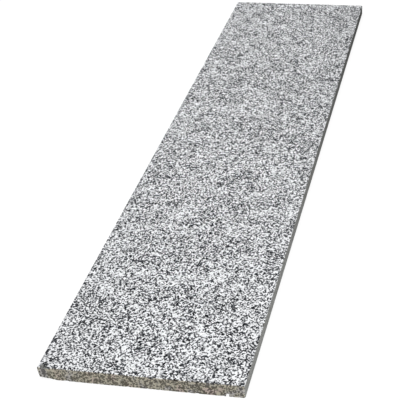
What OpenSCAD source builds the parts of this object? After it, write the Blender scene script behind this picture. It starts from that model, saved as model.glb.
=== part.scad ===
// Granite window sill: a sawn slab, polished on top and ground smooth along its front edge, with
// a drip groove cut the whole length of its underside. It lies flat, its length along X, its
// front edge at -Y and its underside at Z = 0. One lower back corner is broken away.

/* [Slab] */
// Length of the sill, from one sawn end to the other
sill_length = 1500; // [600:10:3000]
// Depth of the sill, from the front edge to the edge that meets the window frame
sill_depth = 300; // [180:5:500]
// Thickness of the slab
sill_thickness = 20; // [18:1:60]

/* [Edges] */
// Width of the small bevel ground along the four top edges
top_bevel = 1; // [0.5:0.1:3]
// Width of the bevel ground along the lower front edge
nose_bevel = 1; // [0.5:0.1:4]

/* [Drip groove] */
// Width of the saw cut that sheds drops of water
groove_width = 5; // [3:0.5:10]
// Depth of that cut, up from the underside
groove_depth = 5; // [2:0.5:9]
// Distance from the front edge to the middle of the groove
groove_setback = 25; // [15:1:80]

/* [Broken corner] */
// How far the break runs along the bottom of the end
break_on_end = 32; // [5:1:60]
// How far the break runs along the bottom of the back edge
break_on_back = 30; // [5:1:60]
// How high the break would reach on the upright corner, if it were not rubbed away
break_height = 4; // [1:0.5:10]
// How far the upright corner is rubbed away at the bottom, measured on the end
rub_on_end = 3.5; // [1:0.5:20]
// How far the upright corner is rubbed away at the bottom, measured on the back edge
rub_on_back = 8; // [1:0.5:20]
// Height of sound stone left between the rubbed corner and the top face
rub_below_top = 4; // [2:0.5:10]

/* [Hidden] */

front_y = -sill_depth / 2;
back_y = sill_depth / 2;
end_x = sill_length / 2;
groove_y = front_y + groove_setback;
// Overshoot that carries each cut clear of the faces it passes through
clear = 10;

// The slab seen from its end: bevelled front edge, sharp lower back edge, groove in the underside
module cross_section() {
    difference() {
        polygon([
            [front_y + nose_bevel, 0],
            [back_y, 0],
            [back_y, sill_thickness - top_bevel],
            [back_y - top_bevel, sill_thickness],
            [front_y + top_bevel, sill_thickness],
            [front_y, sill_thickness - top_bevel],
            [front_y, nose_bevel]
        ]);
        translate([groove_y - groove_width / 2, -clear])
            square([groove_width, clear + groove_depth]);
    }
}

// The slab seen from its front: square sawn ends, bevelled at the top
module front_outline() {
    polygon([
        [-end_x, 0],
        [end_x, 0],
        [end_x, sill_thickness - top_bevel],
        [end_x - top_bevel, sill_thickness],
        [-end_x + top_bevel, sill_thickness],
        [-end_x, sill_thickness - top_bevel]
    ]);
}

module slab() {
    intersection() {
        translate([-end_x - clear, 0, 0])
            rotate([90, 0, 90])
                linear_extrude(sill_length + 2 * clear)
                    cross_section();
        translate([0, back_y + clear, 0])
            rotate([90, 0, 0])
                linear_extrude(sill_depth + 2 * clear)
                    front_outline();
    }
}

// All that lies below a plane across the lower back corner. The plane meets the bottom of the back
// edge, the bottom of the end and the upright corner at the three given distances from the corner.
module corner_cut(on_back, on_end, height) {
    heading = atan2(-1 / on_end, 1 / on_back);
    steepness = atan(height * norm([1 / on_back, 1 / on_end]));
    reach = 2 * (on_back + on_end + height);
    translate([-end_x, back_y, height])
        rotate([0, steepness, heading])
            translate([-reach, -reach, -reach])
                cube([2 * reach, 2 * reach, reach]);
}

module sill() {
    color("#B0B1B4")
        difference() {
            slab();
            corner_cut(break_on_back, break_on_end, break_height);
            corner_cut(rub_on_back, rub_on_end, sill_thickness - rub_below_top);
        }
}

sill();
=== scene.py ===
import math
import random

import bmesh
import bpy
from mathutils import Matrix, Vector


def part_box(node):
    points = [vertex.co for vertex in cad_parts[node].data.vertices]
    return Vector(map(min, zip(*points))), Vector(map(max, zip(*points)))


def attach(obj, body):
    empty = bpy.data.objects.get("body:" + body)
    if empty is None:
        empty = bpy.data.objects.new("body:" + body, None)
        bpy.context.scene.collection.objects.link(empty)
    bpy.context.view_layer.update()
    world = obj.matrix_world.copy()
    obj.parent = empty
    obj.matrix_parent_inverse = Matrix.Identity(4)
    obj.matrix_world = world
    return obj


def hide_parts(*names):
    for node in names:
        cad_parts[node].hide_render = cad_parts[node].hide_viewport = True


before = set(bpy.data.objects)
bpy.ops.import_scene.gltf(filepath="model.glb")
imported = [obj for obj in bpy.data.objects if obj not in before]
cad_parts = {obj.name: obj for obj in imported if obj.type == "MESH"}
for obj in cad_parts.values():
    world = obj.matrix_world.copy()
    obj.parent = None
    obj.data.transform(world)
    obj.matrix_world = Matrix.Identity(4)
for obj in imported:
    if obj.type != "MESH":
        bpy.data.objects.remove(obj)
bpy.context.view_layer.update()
slabLow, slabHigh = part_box("sill")
print("frame loaded")


def selectOnly(thing):
    bpy.ops.object.select_all(action="DESELECT")
    thing.select_set(True)
    bpy.context.view_layer.objects.active = thing


def editMode(thing, chooseBy="EDGE"):
    selectOnly(thing)
    bpy.ops.object.mode_set(mode="EDIT")
    bpy.ops.mesh.select_mode(type=chooseBy)


def objectMode():
    bpy.ops.object.mode_set(mode="OBJECT")


def pickEdges(thing, test):
    mesh = bmesh.from_edit_mesh(thing.data)
    for edge in mesh.edges:
        edge.select_set(False)
    found = [edge for edge in mesh.edges if test(edge.verts[0].co, edge.verts[1].co)]
    for edge in found:
        edge.select_set(True)
    bmesh.update_edit_mesh(thing.data)


def pickFaces(thing, test):
    mesh = bmesh.from_edit_mesh(thing.data)
    for face in mesh.faces:
        face.select_set(False)
    found = [face for face in mesh.faces if test(face.calc_center_median(), face.normal)]
    for face in found:
        face.select_set(True)
    bmesh.update_edit_mesh(thing.data)


xAxis, yAxis, zAxis = 0, 1, 2
touching = 1e-5                  # metres, closer than which two places are the same


def near(value, target, slack=touching):
    return abs(value - target) < slack


def applyModifiers(thing):
    selectOnly(thing)
    for modifier in list(thing.modifiers):
        bpy.ops.object.modifier_apply(modifier=modifier.name)


def addNode(tree, kind, **settings):
    node = tree.nodes.new(kind)
    for name, value in settings.items():
        setattr(node, name, value)
    return node


def join(tree, output, target):
    tree.links.new(output, target)


# Sizes in metres, colours linear
granite = {
    "grainSize": 0.0021,         # feldspar and quartz
    "flakeSize": 0.0027,         # black mica
    "grainWarp": 0.0008,         # how far the grain outlines wander
    "warpSize": 0.9,             # length of a bend in an outline, as a share of the grain size
    "clusterSize": 0.030,        # darker and lighter clusters
    "clusterPull": 0.35,         # how much they favour dark or light grains
    "flakeShare": 0.17,
    "bigCrystalSpacing": 0.034,  # scattered white crystals, larger than the rest
    "bigCrystalReach": 0.11,     # as a share of that spacing
    "mottleSize": 0.0007,        # cleavage and fine inclusions inside the crystals
    "mottleDepth": 0.5,
    "crystalShade": (0.8, 1.1),  # the darkest and the lightest crystal of one colour
    "creamFrom": 0.51,           # white crystals are the share below this, and so on
    "greyFrom": 0.57,
    "quartzFrom": 0.65,
    "white": (0.88, 0.892, 0.91, 1),
    "cream": (0.70, 0.712, 0.728, 1),
    "grey": (0.218, 0.225, 0.238, 1),
    "quartz": (0.041, 0.044, 0.051, 1),
    "mica": (0.010, 0.010, 0.012, 1),
}


def mathNode(tree, operation, first, second=None, third=None, clamp=False):
    node = addNode(tree, "ShaderNodeMath", operation=operation, use_clamp=clamp)
    for socket, value in zip(node.inputs, (first, second, third)):
        if value is None:
            continue
        if isinstance(value, (int, float)):
            socket.default_value = value
        else:
            join(tree, value, socket)
    return node.outputs[0]


def mixColours(tree, factor, first, second, blend="MIX"):
    node = addNode(tree, "ShaderNodeMix", data_type="RGBA", blend_type=blend)
    # The colour sockets come after those for numbers and vectors
    for index, value in ((0, factor), (6, first), (7, second)):
        socket = node.inputs[index]
        if isinstance(value, (int, float, tuple)):
            socket.default_value = value
        else:
            join(tree, value, socket)
    return node.outputs[2]


def noiseNode(tree, vector, size, detail=2.0, roughness=0.5):
    node = addNode(tree, "ShaderNodeTexNoise", noise_dimensions="3D")
    node.inputs["Scale"].default_value = 1 / size
    node.inputs["Detail"].default_value = detail
    node.inputs["Roughness"].default_value = roughness
    join(tree, vector, node.inputs["Vector"])
    return node


def cellNode(tree, vector, size, feature="F1"):
    node = addNode(tree, "ShaderNodeTexVoronoi", voronoi_dimensions="3D", feature=feature)
    node.inputs["Scale"].default_value = 1 / size
    join(tree, vector, node.inputs["Vector"])
    return node


def rampNode(tree, factor, stops, interpolation="LINEAR"):
    node = addNode(tree, "ShaderNodeValToRGB")
    ramp = node.color_ramp
    ramp.interpolation = interpolation
    while len(ramp.elements) < len(stops):
        ramp.elements.new(0.5)
    for element, (place, colour) in zip(ramp.elements, stops):
        element.position = place
        element.color = colour
    join(tree, factor, node.inputs["Fac"])
    return node.outputs["Color"]


def mottling(tree, place, size, depth):
    pattern = noiseNode(tree, place, size).outputs[0]
    return mathNode(tree, "MULTIPLY_ADD", pattern, depth, 1 - depth / 2)


def makeGrainGroup():
    tree = bpy.data.node_groups.new("graniteGrains", "ShaderNodeTree")
    tree.interface.new_socket("Stone", in_out="OUTPUT", socket_type="NodeSocketColor")
    leave = addNode(tree, "NodeGroupOutput")
    place = addNode(tree, "ShaderNodeTexCoord").outputs["Object"]

    # Grain outlines wander, so the crystals aren't neat cells
    wander = noiseNode(tree, place, granite["grainSize"] * granite["warpSize"])
    centred = addNode(tree, "ShaderNodeVectorMath", operation="SUBTRACT")
    centred.inputs[1].default_value = (0.5, 0.5, 0.5)        # the middle of the noise
    join(tree, wander.outputs["Color"], centred.inputs[0])
    moved = addNode(tree, "ShaderNodeVectorMath", operation="MULTIPLY_ADD")
    moved.inputs[1].default_value = (granite["grainWarp"],) * 3
    join(tree, centred.outputs[0], moved.inputs[0])
    join(tree, place, moved.inputs[2])
    warped = moved.outputs[0]

    grains = cellNode(tree, warped, granite["grainSize"])
    split = addNode(tree, "ShaderNodeSeparateColor")
    join(tree, grains.outputs["Color"], split.inputs[0])
    clusters = noiseNode(tree, place, granite["clusterSize"], detail=1.0).outputs[0]
    lean = mathNode(tree, "MULTIPLY_ADD", clusters, granite["clusterPull"], -granite["clusterPull"] / 2)
    pick = mathNode(tree, "ADD", split.outputs["Red"], lean, clamp=True)
    minerals = rampNode(tree, pick, [
        (0, granite["white"]),
        (granite["creamFrom"], granite["cream"]),
        (granite["greyFrom"], granite["grey"]),
        (granite["quartzFrom"], granite["quartz"]),
    ], "CONSTANT")
    darkest, lightest = granite["crystalShade"]
    shade = mathNode(tree, "MULTIPLY_ADD", split.outputs["Green"], lightest - darkest, darkest)
    mottle = mottling(tree, place, granite["mottleSize"], granite["mottleDepth"])
    shaded = mixColours(tree, 1.0, minerals, mathNode(tree, "MULTIPLY", shade, mottle), "MULTIPLY")

    scattered = cellNode(tree, warped, granite["bigCrystalSpacing"])
    bigOnes = mathNode(tree, "LESS_THAN", scattered.outputs["Distance"], granite["bigCrystalReach"])
    speckled = mixColours(tree, bigOnes, shaded, granite["white"])

    flakes = cellNode(tree, warped, granite["flakeSize"])
    flakeSplit = addNode(tree, "ShaderNodeSeparateColor")
    join(tree, flakes.outputs["Color"], flakeSplit.inputs[0])
    crowd = mathNode(tree, "MULTIPLY_ADD", clusters, -granite["clusterPull"],
                     1 - granite["flakeShare"] + granite["clusterPull"] / 2)
    isFlake = mathNode(tree, "GREATER_THAN", flakeSplit.outputs["Blue"], crowd)
    stone = mixColours(tree, isFlake, speckled, granite["mica"])

    join(tree, stone, leave.inputs["Stone"])
    return tree


grainGroup = makeGrainGroup()


def startMaterial(name, roughness, specular):
    material = bpy.data.materials.new(name)
    material.use_nodes = True
    tree = material.node_tree
    tree.nodes.clear()
    leave = addNode(tree, "ShaderNodeOutputMaterial")
    shader = addNode(tree, "ShaderNodeBsdfPrincipled")
    shader.inputs["Roughness"].default_value = roughness
    shader.inputs["Specular IOR Level"].default_value = specular
    join(tree, shader.outputs[0], leave.inputs["Surface"])
    grains = addNode(tree, "ShaderNodeGroup", node_tree=grainGroup)
    place = addNode(tree, "ShaderNodeTexCoord").outputs["Object"]
    return material, tree, shader, grains, place


def addRelief(tree, shader, height, depth):
    bump = addNode(tree, "ShaderNodeBump")
    bump.inputs["Distance"].default_value = depth
    join(tree, height, bump.inputs["Height"])
    join(tree, bump.outputs[0], shader.inputs["Normal"])


polish = {
    "roughness": (0.9, 0.3),     # of a black grain and of a white one, which takes more polish
    "specular": 0.1,
}


def makePolishedTop():
    dull, shiny = polish["roughness"]
    material, tree, shader, grains, place = startMaterial("polishedTop", shiny, polish["specular"])
    join(tree, grains.outputs["Stone"], shader.inputs["Base Color"])
    roughness = mathNode(tree, "MULTIPLY_ADD", grains.outputs["Stone"], shiny - dull, dull)
    join(tree, roughness, shader.inputs["Roughness"])
    return material


# Unpolished finishes. The crystals show through a powdery base colour, and patches of damp and
# rust run through the tints in their order. Relief is given by its grain, its detail and its depth
mattFinishes = {
    "groundFront": {
        "roughness": 0.75,
        "base": (0.47, 0.47, 0.455, 1),
        "crystals": 0.2,         # how clearly they show
        "patchSize": 0.05,
        "tints": [(1, 1, 0.99, 1), (0.93, 0.94, 0.91, 1)],
        "relief": (0.0012, 3, 0.0001),
    },
    "sawnEnd": {
        "roughness": 0.85,
        "base": (0.56, 0.56, 0.56, 1),
        "crystals": 0.66,
        "patchSize": 0.022,
        "tints": [
            (1.05, 1.0, 0.95, 1),
            (1.07, 1.0, 0.82, 1),
            (1.09, 1.0, 0.79, 1),
            (1.17, 0.975, 0.87, 1),
        ],
        "relief": (0.0015, 4, 0.0003),
    },
    "sawnUnderside": {
        "roughness": 0.85,
        "base": (0.44, 0.44, 0.43, 1),
        "crystals": 0.45,
        "patchSize": 0.12,
        "tints": [(1, 1, 0.98, 1), (0.86, 0.84, 0.78, 1)],
        "relief": (0.0015, 4, 0.0003),
        "sawMarkShade": 0.12,        # how much painted shade darkens the bottom of a saw mark
    },
    "brokenStone": {
        "roughness": 0.8,
        "base": (0.40, 0.40, 0.39, 1),
        "crystals": 0.6,
        "patchSize": 0.02,
        "tints": [(0.95, 0.93, 0.85, 1), (0.74, 0.71, 0.64, 1)],
        "relief": (0.0012, 4, 0.0005),
    },
    # Its near-black base is painted shade in the chips along the top arrises and in the spall, together
    # with some real dust
    "chippedStoneDustAndShade": {
        "roughness": 0.8,
        "base": (0.035, 0.035, 0.035, 1),
        "crystals": 0.24,
        "patchSize": 0.03,
        "tints": [(0.96, 1.0, 1.0, 1), (1.1, 1.0, 0.82, 1)],
        "relief": (0.0012, 4, 0.0005),
    },
}
patches = {"detail": 3.0, "roughness": 0.6, "from": 0.35, "to": 0.65}
saw = {"spacing": 0.007, "wander": 2.5, "wanderSize": 0.1}   # marks that run the length of the slab
waveRepeat = math.pi / 10                    # from band to band of a wave texture at scale 1
grit = {"size": 0.0004, "depth": 0.8}        # stone dust and pits, too fine to see from afar


def tinted(tree, place, stone, patchSize, tints):
    pattern = noiseNode(tree, place, patchSize, patches["detail"], patches["roughness"]).outputs[0]
    step = (patches["to"] - patches["from"]) / (len(tints) - 1)
    stops = [(patches["from"] + step * i, tint) for i, tint in enumerate(tints)]
    return mixColours(tree, 1.0, stone, rampNode(tree, pattern, stops), "MULTIPLY")


def sawMarked(tree, place, colour, height, depth):
    marks = addNode(tree, "ShaderNodeTexWave", wave_type="BANDS", bands_direction="Y")
    marks.inputs["Scale"].default_value = waveRepeat / saw["spacing"]
    marks.inputs["Distortion"].default_value = saw["wander"]
    marks.inputs["Detail Scale"].default_value = saw["wanderSize"]
    join(tree, place, marks.inputs["Vector"])
    # Painted shade darkens the bottom of each saw mark, and the same bands lower the relief there
    shade = mathNode(tree, "MULTIPLY_ADD", marks.outputs["Fac"], depth, 1 - depth)
    return mixColours(tree, 1.0, colour, shade, "MULTIPLY"), mathNode(tree, "MULTIPLY", height, shade)


def makeMattFinish(name):
    finish = mattFinishes[name]
    material, tree, shader, grains, place = startMaterial(name, finish["roughness"], 0)
    stone = mixColours(tree, finish["crystals"], finish["base"], grains.outputs["Stone"])
    dusty = mixColours(tree, 1.0, stone, mottling(tree, place, grit["size"], grit["depth"]), "MULTIPLY")
    colour = tinted(tree, place, dusty, finish["patchSize"], finish["tints"])
    grainSize, detail, depth = finish["relief"]
    height = noiseNode(tree, place, grainSize, detail).outputs[0]
    if "sawMarkShade" in finish:
        colour, height = sawMarked(tree, place, colour, height, finish["sawMarkShade"])
    join(tree, colour, shader.inputs["Base Color"])
    addRelief(tree, shader, height, depth)
    return material


stoneFinishes = [makePolishedTop()] + [makeMattFinish(name) for name in mattFinishes]
print("stone finishes made:", ", ".join(finish.name for finish in stoneFinishes))


slab = {
    "topBevel": 0.001,
    "noseBevel": 0.001,
    "cornerRound": 0.0025,       # the two upright corners at the ends of the front edge
    "lowerBevel": 0.0004,        # sawn arrises, groove lips and back corners, only just eased
    "grooveWidth": 0.005,
    "grooveDepth": 0.005,
    "grooveSetback": 0.025,
    "grooveRound": 0.0008,
    "bevelSteps": 2,
    "cornerSteps": 4,
    "rowSpacing": 0.010,         # between the lengthwise rows of faces
    "layers": 5,                 # rows of faces up each side
    "lengthCuts": (14, 9),       # 15 by 10 spans along the length
    "longSpan": 0.02,            # only edges longer than this are cut into spans
    "smoothAngle": 30,           # degrees, past which an edge stays sharp
}


def scoreLines(axis, places):
    direction = Vector((0, 0, 0))
    direction[axis] = 1
    for place in places:
        bpy.ops.mesh.select_all(action="SELECT")
        bpy.ops.mesh.bisect(plane_co=direction * place, plane_no=direction)


def bevelArrises(thing, width, test, segments=slab["bevelSteps"]):
    pickEdges(thing, test)
    bpy.ops.mesh.bevel(offset=width, offset_type="OFFSET", segments=segments, affect="EDGES")


def buildSlab():
    size = slabHigh - slabLow
    bpy.ops.mesh.primitive_cube_add(size=1, location=(slabLow + slabHigh) / 2)
    piece = bpy.context.object
    piece.name = "graniteSill"
    piece.data.name = "graniteSill"
    piece.scale = size
    bpy.ops.object.transform_apply(location=True, rotation=True, scale=True)

    grooveMiddle = slabLow.y + slab["grooveSetback"]
    wallFront = grooveMiddle - slab["grooveWidth"] / 2
    wallBack = grooveMiddle + slab["grooveWidth"] / 2
    ceiling = slabLow.z + slab["grooveDepth"]

    editMode(piece)
    scoreLines(yAxis, (wallFront, wallBack))
    scoreLines(zAxis, (ceiling,))

    # Open the groove through the underside and both ends, then bridge its two outlines
    def inGroove(point):
        return wallFront - touching < point.y < wallBack + touching and point.z < ceiling + touching

    bpy.ops.mesh.select_mode(type="FACE")
    pickFaces(piece, lambda middle, normal: inGroove(middle))
    bpy.ops.mesh.delete(type="FACE")
    bpy.ops.mesh.select_mode(type="EDGE")
    pickEdges(piece, lambda a, b: inGroove(a) and inGroove(b) and near(a.x, b.x))
    bpy.ops.mesh.bridge_edge_loops()

    def along(a, b, axis, place):
        return near(a[axis], place) and near(b[axis], place)

    def onEnd(a, b):
        return along(a, b, xAxis, slabLow.x) or along(a, b, xAxis, slabHigh.x)

    def onGrooveWall(a, b):
        return along(a, b, yAxis, wallFront) or along(a, b, yAxis, wallBack)

    def frontCorner(a, b):
        return onEnd(a, b) and along(a, b, yAxis, slabLow.y)

    def roundedCorner(a, b):
        def inCorner(point):
            fromEnd = min(point.x - slabLow.x, slabHigh.x - point.x)
            return max(fromEnd, point.y - slabLow.y) < slab["cornerRound"] + touching
        return inCorner(a) and inCorner(b)

    def topArris(a, b):
        onLongSide = along(a, b, yAxis, slabLow.y) or along(a, b, yAxis, slabHigh.y)
        onOutline = onEnd(a, b) or onLongSide or roundedCorner(a, b)
        return along(a, b, zAxis, slabHigh.z) and onOutline

    def noseArris(a, b):
        onBottom = along(a, b, zAxis, slabLow.z)
        return onBottom and (along(a, b, yAxis, slabLow.y) or roundedCorner(a, b))

    def sawnArris(a, b):
        onBack = along(a, b, yAxis, slabHigh.y)
        onBottom = along(a, b, zAxis, slabLow.z)
        backCorner = onEnd(a, b) and onBack
        return backCorner or onBottom and (onGrooveWall(a, b) or onEnd(a, b) or onBack)

    def grooveCorner(a, b):
        return along(a, b, zAxis, ceiling) and onGrooveWall(a, b)

    def longEdge(a, b):
        return near(a.y, b.y) and near(a.z, b.z) and abs(a.x - b.x) > slab["longSpan"]

    bevelArrises(piece, slab["cornerRound"], frontCorner, segments=slab["cornerSteps"])
    bevelArrises(piece, slab["topBevel"], topArris)
    bevelArrises(piece, slab["noseBevel"], noseArris)
    bevelArrises(piece, slab["grooveRound"], grooveCorner)
    bevelArrises(piece, slab["lowerBevel"], sawnArris, segments=1)

    # Even rows of faces over the whole slab, and a cut that keeps the rounded corners apart from them
    cornerReach = 2 * slab["cornerRound"]
    scoreLines(xAxis, (slabLow.x + cornerReach, slabHigh.x - cornerReach))
    rows = round(size.y / slab["rowSpacing"])
    steps = [slabLow.y + size.y * i / rows for i in range(1, rows)]
    scoreLines(yAxis, [y for y in steps if abs(y - grooveMiddle) > slab["grooveWidth"]])
    scoreLines(zAxis, [slabLow.z + size.z * i / slab["layers"] for i in range(1, slab["layers"])])
    for cuts in slab["lengthCuts"]:
        pickEdges(piece, longEdge)
        bpy.ops.mesh.subdivide(number_cuts=cuts)
    objectMode()
    return piece


sill = buildSlab()
print("slab sawn:", len(sill.data.polygons), "faces")


dressing = {"flat": 0.3, "upright": 0.6}     # how squarely a face looks up or down, or to a side


def dressSlab():
    flat, upright = dressing["flat"], dressing["upright"]

    def atFront(middle):
        return near(middle.y, slabLow.y, slab["noseBevel"])

    # Each test takes over faces from the ones above it. The first takes them all
    tests = [
        ("sawnUnderside", lambda middle, normal: True),
        ("polishedTop", lambda middle, normal: normal.z > flat),
        ("groundFront", lambda middle, normal: normal.y < -upright and atFront(middle)),
        ("sawnEnd", lambda middle, normal: abs(normal.x) > upright),
        ("sawnUnderside", lambda middle, normal: normal.z < -flat or normal.y > upright),
    ]
    sill.data.materials.clear()
    for finish in stoneFinishes:
        sill.data.materials.append(finish)
    editMode(sill, "FACE")
    for name, test in tests:
        pickFaces(sill, test)
        sill.active_material_index = sill.data.materials.find(name)
        bpy.ops.object.material_slot_assign()
    objectMode()


dressSlab()
print("finishes set")

wear = {
    "seed": 11,
    # The two breaks at the lower corner: reach along the back edge, along the end, and upward
    "brokenCorner": (0.030, 0.032, 0.004),
    "rubbedCorner": (0.008, 0.0035, 0.016),
    "breakRoughness": 0.0016,
    "rubRoughness": 0.0008,
    "crystalSize": 0.004,        # of the facets on a break
    "coarseFacets": 3,           # size of the larger facets under them, in crystals
    "cellsPerCrystal": 3,        # how finely a break is modelled
    "cutterWidth": 2.4,          # of the tool that makes a break, as a share of its longest reach
    "smallChip": 0.0008,
    "largeChip": 0.0028,
    "rareness": 3,               # a higher power makes large chips rarer
    "chipBite": 0.45,            # share of its radius that a chip reaches under the arris
    "bevelShare": 0.7,           # how far the bevel sets a chip back, as a share of its width
    "chipStretch": (1.0, 2.2),   # length of a chip over its width
    "chipShape": (0.7, 0.7),     # size and depth of its facets, as shares of its radius
    "chipPitch": 2.6,            # room that a chip takes along the arris, in radii
    "endMargins": (0.006, 0.008),
    # Metres between chips, on average, and how much that varies
    "gaps": {"topEnd": 0.007, "topFront": 0.06, "lowerEnd": 0.005, "lowerBack": 0.04, "grooveLip": 0.05},
    "gapSpread": (0.3, 1.7),
    # A spall at the top of the same end: its distance from the back edge and its half sizes
    "spallSetback": 0.0095,
    "spallReach": (0.013, 0.0052, 0.0024),
}


def roughen(piece, size, depth):
    texture = bpy.data.textures.new(piece.name, "CLOUDS")
    texture.noise_scale = size
    texture.noise_depth = 2
    modifier = piece.modifiers.new("roughen", "DISPLACE")
    modifier.texture = texture
    modifier.strength = depth
    modifier.mid_level = 0.5


def makeBreak(name, reach, roughness):
    onBack, onEnd, height = reach
    width = wear["cutterWidth"] * max(reach)
    cells = round(width / wear["crystalSize"] * wear["cellsPerCrystal"])
    bpy.ops.mesh.primitive_grid_add(size=width, x_subdivisions=cells, y_subdivisions=cells)
    cutter = bpy.context.object
    cutter.name = name
    roughen(cutter, wear["crystalSize"], roughness)
    roughen(cutter, wear["crystalSize"] * wear["coarseFacets"], roughness)
    applyModifiers(cutter)
    editMode(cutter, "FACE")
    bpy.ops.mesh.select_all(action="SELECT")
    bpy.ops.mesh.extrude_region_move(TRANSFORM_OT_translate={"value": (0, 0, -width)})
    bpy.ops.mesh.select_all(action="SELECT")
    bpy.ops.mesh.normals_make_consistent(inside=False)
    objectMode()
    # The plane's three meetings with the corner's edges give its slope, and their middle its place
    inward = Vector((1 / onBack, -1 / onEnd, 1 / height))
    corner = Vector((slabLow.x, slabHigh.y, slabLow.z))
    cutter.rotation_euler = inward.to_track_quat("Z", "X").to_euler()
    cutter.location = corner + Vector((onBack, -onEnd, height)) / 3
    bpy.ops.object.transform_apply(location=True, rotation=True, scale=True)
    return cutter


def makeLump():
    bpy.ops.mesh.primitive_ico_sphere_add(subdivisions=2, radius=1)
    lump = bpy.context.object
    lump.name = "chipLump"
    roughen(lump, *wear["chipShape"])
    applyModifiers(lump)
    return lump


def copyLump(lump, place, turn, scale):
    chip = lump.copy()
    chip.data = lump.data.copy()
    bpy.context.collection.objects.link(chip)
    chip.location = place
    chip.rotation_euler = turn
    chip.scale = scale
    return chip


def chipsAlong(lump, start, end, outward, bevel, gapName, chance):
    start, end = Vector(start), Vector(end)
    outward = Vector(outward).normalized()
    run = end - start
    heading = math.atan2(run.y, run.x)
    gap = wear["gaps"][gapName]
    startMargin, endMargin = wear["endMargins"]
    growth = wear["largeChip"] - wear["smallChip"]
    chips = []
    travelled = startMargin + chance.random() * gap
    while travelled < run.length - endMargin:
        radius = wear["smallChip"] + growth * chance.random() ** wear["rareness"]
        stretch = chance.uniform(*wear["chipStretch"])
        middle = start + run.normalized() * (travelled + radius * stretch)
        place = middle + outward * (radius * (1 - wear["chipBite"]) - bevel * wear["bevelShare"])
        turn = (chance.uniform(0, 2 * math.pi), 0, heading)
        chips.append(copyLump(lump, place, turn, (radius * stretch, radius, radius)))
        travelled += wear["chipPitch"] * radius * stretch + gap * chance.uniform(*wear["gapSpread"])
    return chips


def cutAway(cutter, finish):
    cutter.data.materials.clear()
    cutter.data.materials.append(finish)
    modifier = sill.modifiers.new("cutAway", "BOOLEAN")
    modifier.object = cutter
    modifier.operation = "DIFFERENCE"
    modifier.solver = "EXACT"
    modifier.material_mode = "TRANSFER"
    applyModifiers(sill)
    bpy.data.objects.remove(cutter)


def joinChips(chips):
    bpy.ops.object.select_all(action="DESELECT")
    for chip in chips:
        chip.select_set(True)
    bpy.context.view_layer.objects.active = chips[0]
    bpy.ops.object.join()
    bpy.ops.object.transform_apply(location=True, rotation=True, scale=True)
    return bpy.context.object


def chipTopArrises(lump, finish, chance):
    low, high = slabLow, slabHigh
    chips = []
    for endX, side in ((low.x, -1), (high.x, 1)):
        chips += chipsAlong(lump, (endX, low.y, high.z), (endX, high.y, high.z), (side, 0, 1),
                            slab["topBevel"], "topEnd", chance)
    chips += chipsAlong(lump, (low.x, low.y, high.z), (high.x, low.y, high.z), (0, -1, 1),
                        slab["topBevel"], "topFront", chance)
    cutAway(joinChips(chips), finish)
    return len(chips)


def chipLowerArrises(lump, finish, chance):
    low, high = slabLow, slabHigh
    chips = []
    for endX, side in ((low.x, -1), (high.x, 1)):
        chips += chipsAlong(lump, (endX, low.y, low.z), (endX, high.y, low.z), (side, 0, -1),
                            slab["lowerBevel"], "lowerEnd", chance)
    chips += chipsAlong(lump, (low.x, high.y, low.z), (high.x, high.y, low.z), (0, 1, -1),
                        slab["lowerBevel"], "lowerBack", chance)
    for side in (-1, 1):
        lipY = low.y + slab["grooveSetback"] + side * slab["grooveWidth"] / 2
        chips += chipsAlong(lump, (low.x, lipY, low.z), (high.x, lipY, low.z), (0, -side, -1),
                            slab["lowerBevel"], "grooveLip", chance)
    cutAway(joinChips(chips), finish)
    return len(chips)


def wearSlab():
    brokenStone, chippedStoneDustAndShade = stoneFinishes[-2:]
    cutAway(makeBreak("brokenCorner", wear["brokenCorner"], wear["breakRoughness"]), brokenStone)
    cutAway(makeBreak("rubbedCorner", wear["rubbedCorner"], wear["rubRoughness"]), brokenStone)
    print("corner broken")
    chance = random.Random(wear["seed"])
    lump = makeLump()
    spallPlace = (slabLow.x, slabHigh.y - wear["spallSetback"], slabHigh.z)
    spall = copyLump(lump, spallPlace, (0, 0, 0), wear["spallReach"])
    selectOnly(spall)
    bpy.ops.object.transform_apply(location=True, rotation=True, scale=True)
    # The spall and the top arris chips take the near-black finish, which is painted shade in their
    # hollows with some dust
    cutAway(spall, chippedStoneDustAndShade)
    chips = chipTopArrises(lump, chippedStoneDustAndShade, chance) + chipLowerArrises(lump, brokenStone, chance)
    bpy.data.objects.remove(lump)
    print("arrises chipped:", chips, "chips,", len(sill.data.polygons), "faces")


wearSlab()


def smoothSlab():
    editMode(sill)
    bpy.ops.mesh.select_all(action="SELECT")
    bpy.ops.mesh.remove_doubles(threshold=touching)
    objectMode()
    bpy.ops.object.shade_smooth_by_angle(angle=math.radians(slab["smoothAngle"]))


smoothSlab()
print("arrises smoothed:", len(sill.data.polygons), "faces")

# Every side of the slab gets a strip of its own on the map that the finishes are baked to
bakeMap = {
    "name": "OFBake",
    "gap": 0.0075,               # between two strips, as a share of the map
    "reach": 0.0085,             # how deep under a side its chips and breaks still belong to it
    "topStrip": 0.292,           # heights, as shares of the map; the top is two strips long
    "undersideStrip": 0.215,
    "edgeStrip": 0.028,
    "grooveStrip": 0.006,
}
elsewhere = -2                   # less than any side that a face could belong to


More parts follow.
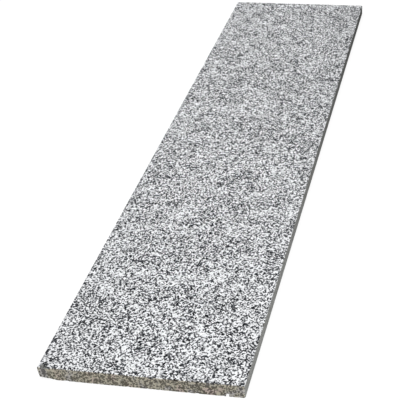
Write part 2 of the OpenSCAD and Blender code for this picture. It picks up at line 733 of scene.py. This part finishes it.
def listSides():
    low, high = slabLow, slabHigh
    middle = (low.x + high.x) / 2
    grooveMiddle = low.y + slab["grooveSetback"]
    wallFront, wallBack = (grooveMiddle + way * slab["grooveWidth"] / 2 for way in (-1, 1))
    ceiling = low.z + slab["grooveDepth"]
    edge, groove = bakeMap["edgeStrip"], bakeMap["grooveStrip"]
    across = (yAxis, low.y, high.y)
    upEdge = (zAxis, low.z, high.z)
    upWall = (zAxis, low.z, ceiling)
    # Each side: its axis, the way it faces, its plane, what runs along its strip, what runs across
    # the strip, and the strip's height
    return [
        (zAxis, 1, high.z, (xAxis, low.x, middle), across, bakeMap["topStrip"]),
        (zAxis, 1, high.z, (xAxis, middle, high.x), across, bakeMap["topStrip"]),
        (zAxis, -1, low.z, (xAxis, high.x, low.x), across, bakeMap["undersideStrip"]),
        (yAxis, -1, low.y, (xAxis, low.x, high.x), upEdge, edge),
        (yAxis, 1, high.y, (xAxis, high.x, low.x), upEdge, edge),
        (xAxis, -1, low.x, (yAxis, high.y, low.y), upEdge, edge),
        (xAxis, 1, high.x, (yAxis, low.y, high.y), upEdge, edge),
        (yAxis, 1, wallFront, (xAxis, high.x, low.x), upWall, groove),
        (yAxis, -1, wallBack, (xAxis, low.x, high.x), upWall, groove),
    ]


def layOutSides():
    mesh = sill.data
    for spare in list(mesh.uv_layers):
        mesh.uv_layers.remove(spare)
    places = mesh.uv_layers.new(name=bakeMap["name"]).data
    sides = listSides()
    gap = bakeMap["gap"]
    bottoms = [gap]
    for side in sides:
        bottoms.append(bottoms[-1] + side[-1] + gap)

    def facing(face, side):
        axis, way, plane, (alongAxis, start, end) = side[:4]
        onSide = abs(face.center[axis] - plane) < bakeMap["reach"]
        onStrip = min(start, end) <= face.center[alongAxis] <= max(start, end)
        return way * face.normal[axis] if onSide and onStrip else elsewhere

    for face in mesh.polygons:
        side = max(sides, key=lambda each: facing(face, each))
        bottom = bottoms[sides.index(side)]
        (alongAxis, start, end), (upAxis, foot, head), height = side[3:]
        for corner in face.loop_indices:
            point = mesh.vertices[mesh.loops[corner].vertex_index].co
            along = (point[alongAxis] - start) / (end - start)
            up = (point[upAxis] - foot) / (head - foot)
            places[corner].uv = (gap + along * (1 - 2 * gap), bottom + up * height)
    return bottoms[-1]


print("map laid out, filled to", round(layOutSides(), 3))

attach(sill, "root")
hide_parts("sill")


stage = {
    "floorSize": 30,
    "roomColour": (1, 1, 1, 1),
    "floorColour": (0.13, 0.13, 0.13, 1),
    "floorGlow": 0.93,
    "roomLight": 0.08,           # what the room lends the object
    "roomGlow": 0.94,            # how bright the room itself looks
}


# One where the camera or a reflection looks straight at it, and zero where it only lends light
def seenDirectly(tree):
    path = addNode(tree, "ShaderNodeLightPath")
    seen = mathNode(tree, "ADD", path.outputs["Is Camera Ray"], path.outputs["Is Glossy Ray"])
    return mathNode(tree, "ADD", seen, path.outputs["Is Transmission Ray"], clamp=True)


def makeFloor():
    bpy.ops.mesh.primitive_plane_add(size=stage["floorSize"], location=(0, 0, 0))
    floor = bpy.context.object
    floor.name = "studioFloor"
    material = bpy.data.materials.new("studioFloor")
    material.use_nodes = True
    tree = material.node_tree
    tree.nodes.clear()
    leave = addNode(tree, "ShaderNodeOutputMaterial")
    paper = addNode(tree, "ShaderNodeBsdfDiffuse")
    paper.inputs["Color"].default_value = stage["floorColour"]
    glow = addNode(tree, "ShaderNodeEmission")
    both = addNode(tree, "ShaderNodeAddShader")
    strength = mathNode(tree, "MULTIPLY", seenDirectly(tree), stage["floorGlow"])
    join(tree, strength, glow.inputs["Strength"])
    join(tree, paper.outputs[0], both.inputs[0])
    join(tree, glow.outputs[0], both.inputs[1])
    join(tree, both.outputs[0], leave.inputs["Surface"])
    floor.data.materials.append(material)


def makeRoomLight():
    world = bpy.data.worlds.new("studioRoom")
    bpy.context.scene.world = world
    world.use_nodes = True
    tree = world.node_tree
    tree.nodes.clear()
    leave = addNode(tree, "ShaderNodeOutputWorld")
    added = stage["roomGlow"] - stage["roomLight"]
    strength = mathNode(tree, "MULTIPLY_ADD", seenDirectly(tree), added, stage["roomLight"])
    room = addNode(tree, "ShaderNodeBackground")
    room.inputs["Color"].default_value = stage["roomColour"]
    join(tree, strength, room.inputs["Strength"])
    join(tree, room.outputs[0], leave.inputs["Surface"])


lamps = {
    "overheadLamp": {"place": (0.35, 0.75, 2.4), "aim": (0.15, 0, 0), "size": (3.2, 1.6), "power": 70},
    "frontLamp": {"place": (-0.9, -1.2, 0.6), "aim": (-0.75, -0.15, 0), "size": (0.5, 0.5), "power": 8},
    "endLamp": {"place": (-2.4, 0.3, 0.7), "aim": (-0.75, 0, 0), "size": (0.6, 0.6), "power": 11.2},
}


def makeLamps():
    for name, lamp in lamps.items():
        bpy.ops.object.light_add(type="AREA", location=lamp["place"])
        light = bpy.context.object
        light.name = name
        light.data.shape = "RECTANGLE"
        light.data.size, light.data.size_y = lamp["size"]
        light.data.energy = lamp["power"]
        toward = Vector(lamp["aim"]) - Vector(lamp["place"])
        light.rotation_euler = toward.to_track_quat("-Z", "Y").to_euler()


view = {
    "place": (-2.1352, -0.4453, 1.084),
    "heading": -76.054,          # degrees from +Y, turning left
    "downTilt": 28.551,
    "roll": -3.166,
    "lens": 115.36,
    "clip": (0.05, 60),
}


def makeCamera():
    bpy.ops.object.camera_add(location=view["place"])
    camera = bpy.context.object
    turn = Matrix.Rotation(math.radians(view["heading"]), 3, "Z")
    tilt = Matrix.Rotation(math.radians(90 - view["downTilt"]), 3, "X")
    roll = Matrix.Rotation(math.radians(view["roll"]), 3, "Z")
    camera.rotation_euler = (turn @ tilt @ roll).to_euler()
    camera.data.lens = view["lens"]
    camera.data.clip_start, camera.data.clip_end = view["clip"]
    bpy.context.scene.camera = camera


makeFloor()
makeRoomLight()
makeLamps()
makeCamera()
bpy.context.scene.view_settings.view_transform = "Standard"
print("stage set")
